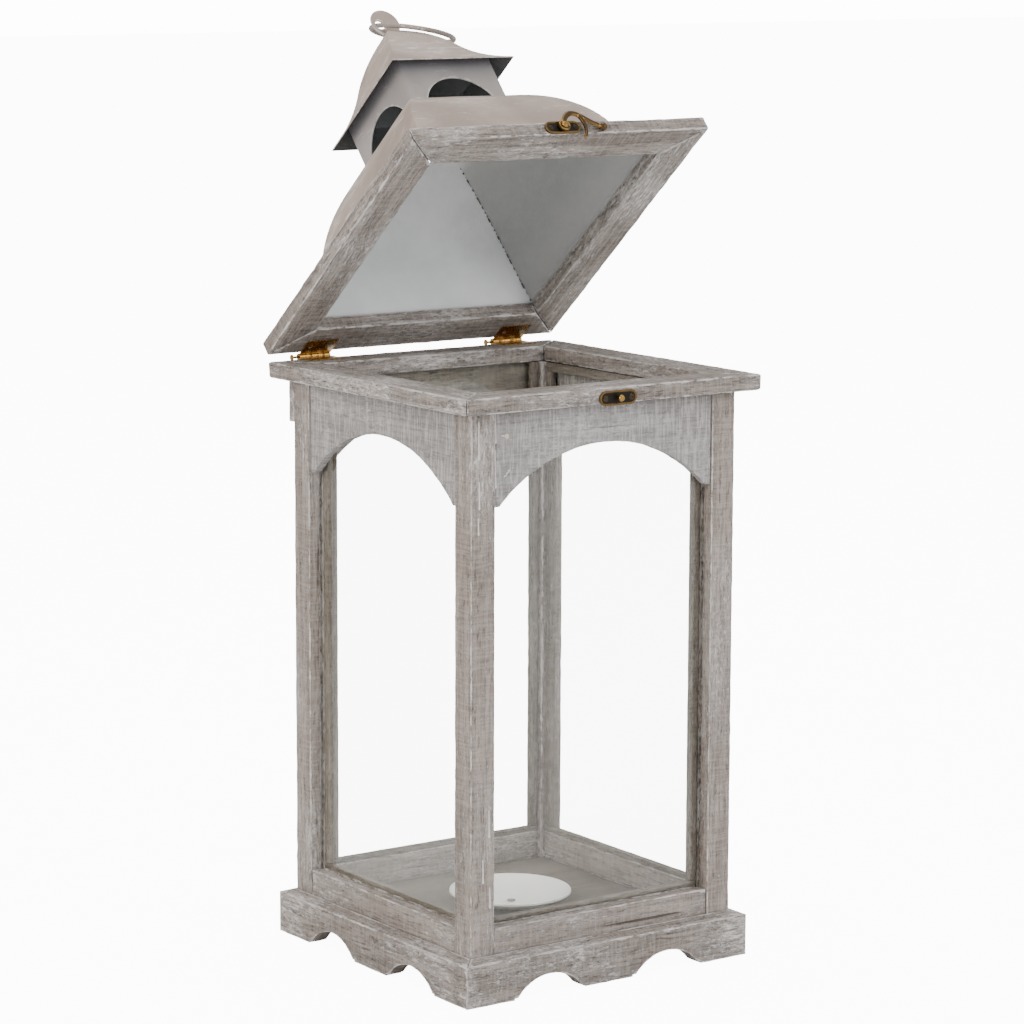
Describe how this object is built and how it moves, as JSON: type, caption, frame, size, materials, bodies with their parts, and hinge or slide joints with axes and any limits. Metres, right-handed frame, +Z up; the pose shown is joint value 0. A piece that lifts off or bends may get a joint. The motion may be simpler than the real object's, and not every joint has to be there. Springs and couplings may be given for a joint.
{
  "type": "hanging lantern",
  "caption": "Square wood-framed candle lantern with clear glass sides, hinged sheet-metal roof with chimney, hook latch and a hanging ring.",
  "frame": {"origin": "centre of the square base, on the plane the lantern stands on", "axes": "+X to the right along the latch face, -Y out of the latch face, +Y towards the hinge side, +Z up"},
  "size_m": [0.2232, 0.2909, 0.5929],
  "materials": {
    "limed_wood": "limed grey-taupe softwood, distressed, white worn edges, matt",
    "inner_wood": "thinly limed grey-brown softwood, matt",
    "painted_sheet": "taupe paint on sheet steel with dry-brushed white streaks, matt",
    "painted_wire": "taupe paint on steel wire, matt",
    "clear_glass": "clear float glass, polished",
    "enamel": "white enamel, satin",
    "antique_brass": "antiqued brass, dark in the recesses, worn gold on the rims",
    "screw_steel": "dull zinc-plated steel"
  },
  "bodies": {
    "case": {"plinth_board_front": "limed_wood", "plinth_board_right": "limed_wood", "plinth_board_back": "limed_wood", "plinth_board_left": "limed_wood", "post_front_left": "limed_wood", "post_front_right": "limed_wood", "post_back_right": "limed_wood", "post_back_left": "limed_wood", "bottom_rail_front": "limed_wood", "bottom_rail_right": "limed_wood", "bottom_rail_back": "limed_wood", "bottom_rail_left": "limed_wood", "apron_front": "limed_wood", "apron_right": "limed_wood", "apron_back": "limed_wood", "apron_left": "limed_wood", "cap_rail_front": "limed_wood", "cap_rail_right": "limed_wood", "cap_rail_back": "limed_wood", "cap_rail_left": "limed_wood", "rear_batten": "limed_wood", "glazing_beads_front": "inner_wood", "glazing_beads_right": "inner_wood", "glazing_beads_back": "inner_wood", "glazing_beads_left": "inner_wood", "floor_panel": "inner_wood", "glass_pane_front": "clear_glass", "glass_pane_right": "clear_glass", "glass_pane_back": "clear_glass", "glass_pane_left": "clear_glass", "candle_plate": "enamel", "candle_plate_screw": "screw_steel", "keeper_screws": "screw_steel", "hinge_case_screws": "screw_steel", "frame_nails": "screw_steel", "hinge_leaf_case_left": "antique_brass", "hinge_leaf_case_right": "antique_brass", "hinge_pin_left": "antique_brass", "hinge_pin_right": "antique_brass", "latch_keeper": "antique_brass"},
    "lid": {"lid_rail_front": "limed_wood", "lid_rail_right": "limed_wood", "lid_rail_back": "limed_wood", "lid_rail_left": "limed_wood", "roof_shell": "painted_sheet", "chimney": "painted_sheet", "chimney_cap": "painted_sheet", "ring_tab": "painted_sheet", "hinge_leaf_lid_left": "antique_brass", "hinge_leaf_lid_right": "antique_brass", "hinge_lid_screws": "screw_steel", "latch_plate": "antique_brass", "latch_screws": "screw_steel", "latch_rivet": "antique_brass", "roof_nails": "screw_steel"},
    "hook": {"latch_hook": "antique_brass"},
    "ring": {"hanging_ring": "painted_wire"}
  },
  "joints": [
    {"name": "lid_hinge", "type": "hinge", "parent": "case", "child": "lid", "pos_m": [0, 0.1146, 0.3746], "axis": [-1, 0, 0], "range_deg": [-40.8, 139.2]},
    {"name": "hook_pivot", "type": "hinge", "parent": "lid", "child": "hook", "pos_m": [-0.0006, -0.05454, 0.52773], "axis": [0, 0.757, -0.6534], "range_deg": [-40, 60]},
    {"name": "ring_swing", "type": "hinge", "parent": "lid", "child": "ring", "pos_m": [-0.0053, 0.14344, 0.58339], "axis": [0.0748, -0.9946, 0.0722], "range_deg": [0, 200]}
  ]
}
